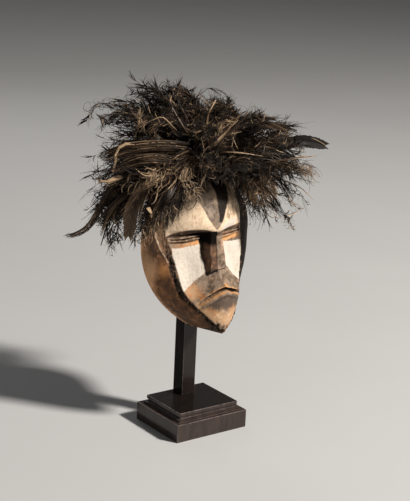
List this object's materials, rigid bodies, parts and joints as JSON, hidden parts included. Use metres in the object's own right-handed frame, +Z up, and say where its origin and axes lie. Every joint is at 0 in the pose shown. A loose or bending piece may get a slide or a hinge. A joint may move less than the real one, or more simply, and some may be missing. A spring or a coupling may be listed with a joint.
{
  "type": "carved wooden face mask with a feather headdress on a stand",
  "caption": "Carved and painted wooden face mask with a shaggy headdress of dark feathers, held upright on a stepped block stand with a square post.",
  "frame": {"origin": "centre of the flat underside of the stand's base", "axes": "+Z up along the post, the mask looks along -Y"},
  "size_m": [0.328, 0.3143, 0.4948],
  "materials": {
    "stand_wood": "ebonised and waxed to a soft shine, pale and worn along the edges",
    "carved_wood": "old dry light wood, painted cream white on forehead and cheeks and grey brown on nose and muzzle, rubbed to ochre",
    "feathers": "old dusty dark brown feathers with tan shafts and frayed barbs",
    "bound_roots": "dark matted feather roots bound into a tuft"
  },
  "bodies": {
    "root": {"stand_base": "stand_wood", "stand_post": "stand_wood", "mask": "carved_wood", "feather_knot": "bound_roots", "feather_lock_fringe_01": "feathers", "feather_lock_fringe_02": "feathers", "feather_lock_fringe_03": "feathers", "feather_lock_fringe_04": "feathers", "feather_lock_fringe_05": "feathers", "feather_lock_fringe_06": "feathers", "feather_lock_fringe_07": "feathers", "feather_lock_fringe_08": "feathers", "feather_lock_fringe_09": "feathers", "feather_lock_fringe_10": "feathers", "feather_lock_fringe_11": "feathers", "feather_lock_fringe_12": "feathers", "feather_lock_fringe_13": "feathers", "feather_lock_brim_01": "feathers", "feather_lock_brim_02": "feathers", "feather_lock_brim_03": "feathers", "feather_lock_brim_04": "feathers", "feather_lock_brim_05": "feathers", "feather_lock_brim_06": "feathers", "feather_lock_brim_07": "feathers", "feather_lock_brim_08": "feathers", "feather_lock_brim_09": "feathers", "feather_lock_brim_10": "feathers", "feather_lock_brim_11": "feathers", "feather_lock_brim_12": "feathers", "feather_lock_crest_01": "feathers", "feather_lock_crest_02": "feathers", "feather_lock_crest_03": "feathers", "feather_lock_crest_04": "feathers", "feather_lock_crest_05": "feathers", "feather_lock_crest_06": "feathers", "feather_lock_crest_07": "feathers", "feather_lock_crest_08": "feathers", "feather_lock_crest_09": "feathers", "feather_lock_crown_01": "feathers", "feather_lock_crown_02": "feathers", "feather_lock_crown_03": "feathers", "feather_lock_crown_04": "feathers", "feather_lock_crown_05": "feathers", "feather_lock_crown_06": "feathers", "feather_lock_tuft_01": "feathers", "feather_lock_tuft_02": "feathers", "feather_lock_tuft_03": "feathers"}
  },
  "joints": []
}
